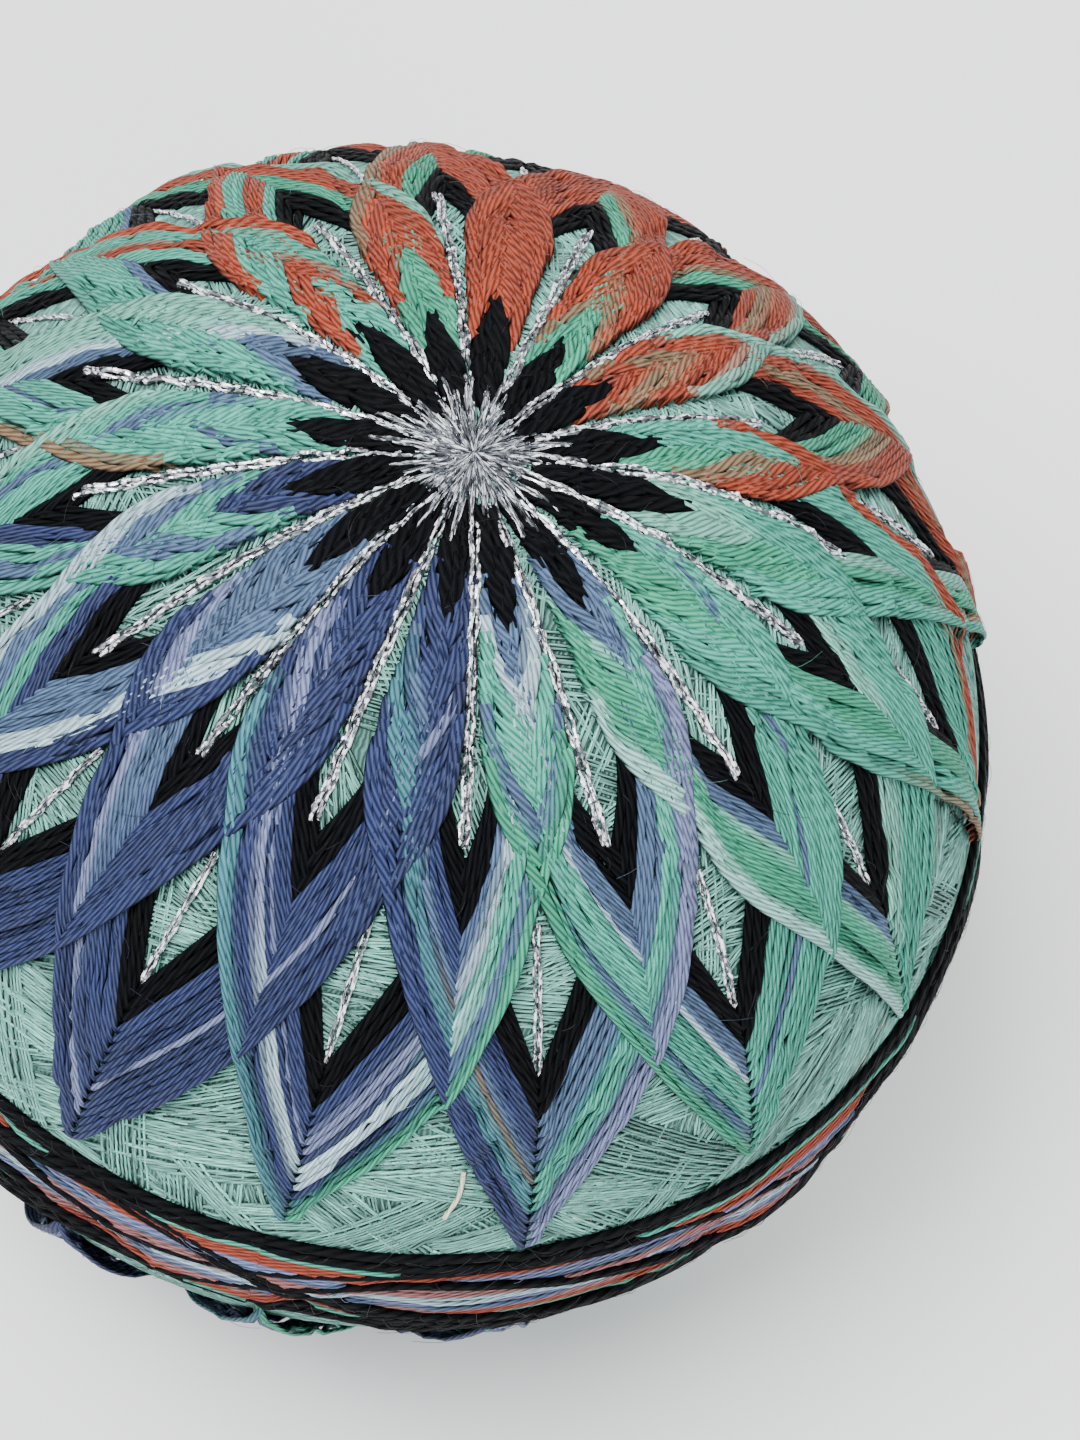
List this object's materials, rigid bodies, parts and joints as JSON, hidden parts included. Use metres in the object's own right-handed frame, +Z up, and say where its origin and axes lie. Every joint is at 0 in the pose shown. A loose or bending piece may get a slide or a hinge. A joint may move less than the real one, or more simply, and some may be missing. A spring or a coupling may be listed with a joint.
{
  "type": "temari ball",
  "caption": "Round thread-wound ball with a stitched chrysanthemum of laid threads on each half, a silver star at the pole and a wrapped belt round the middle; rests on a small flat spot.",
  "frame": {"origin": "middle of the flat spot that the ball rests on", "axes": "+Z up through both poles, towards the pole with the silver star; the belt lies round the middle, across Z"},
  "size_m": [0.09, 0.09, 0.0884],
  "materials": {
    "wrap_thread": "fine fuzzy pale mint sewing thread, wound in all directions",
    "petal_thread": "soft sheen of twisted cotton, colours running from indigo and lavender through mint and sea green to coral, edged with black",
    "silver_thread": "glittering silver lame thread, laid double",
    "belt_thread": "fuzzy black yarn with coral, lavender, mint and dusty rose threads between"
  },
  "bodies": {
    "root": {"wound_ball": "wrap_thread", "kiku_north": "petal_thread", "kiku_south": "petal_thread", "star_north": "silver_thread", "obi_band": "belt_thread"}
  },
  "joints": []
}
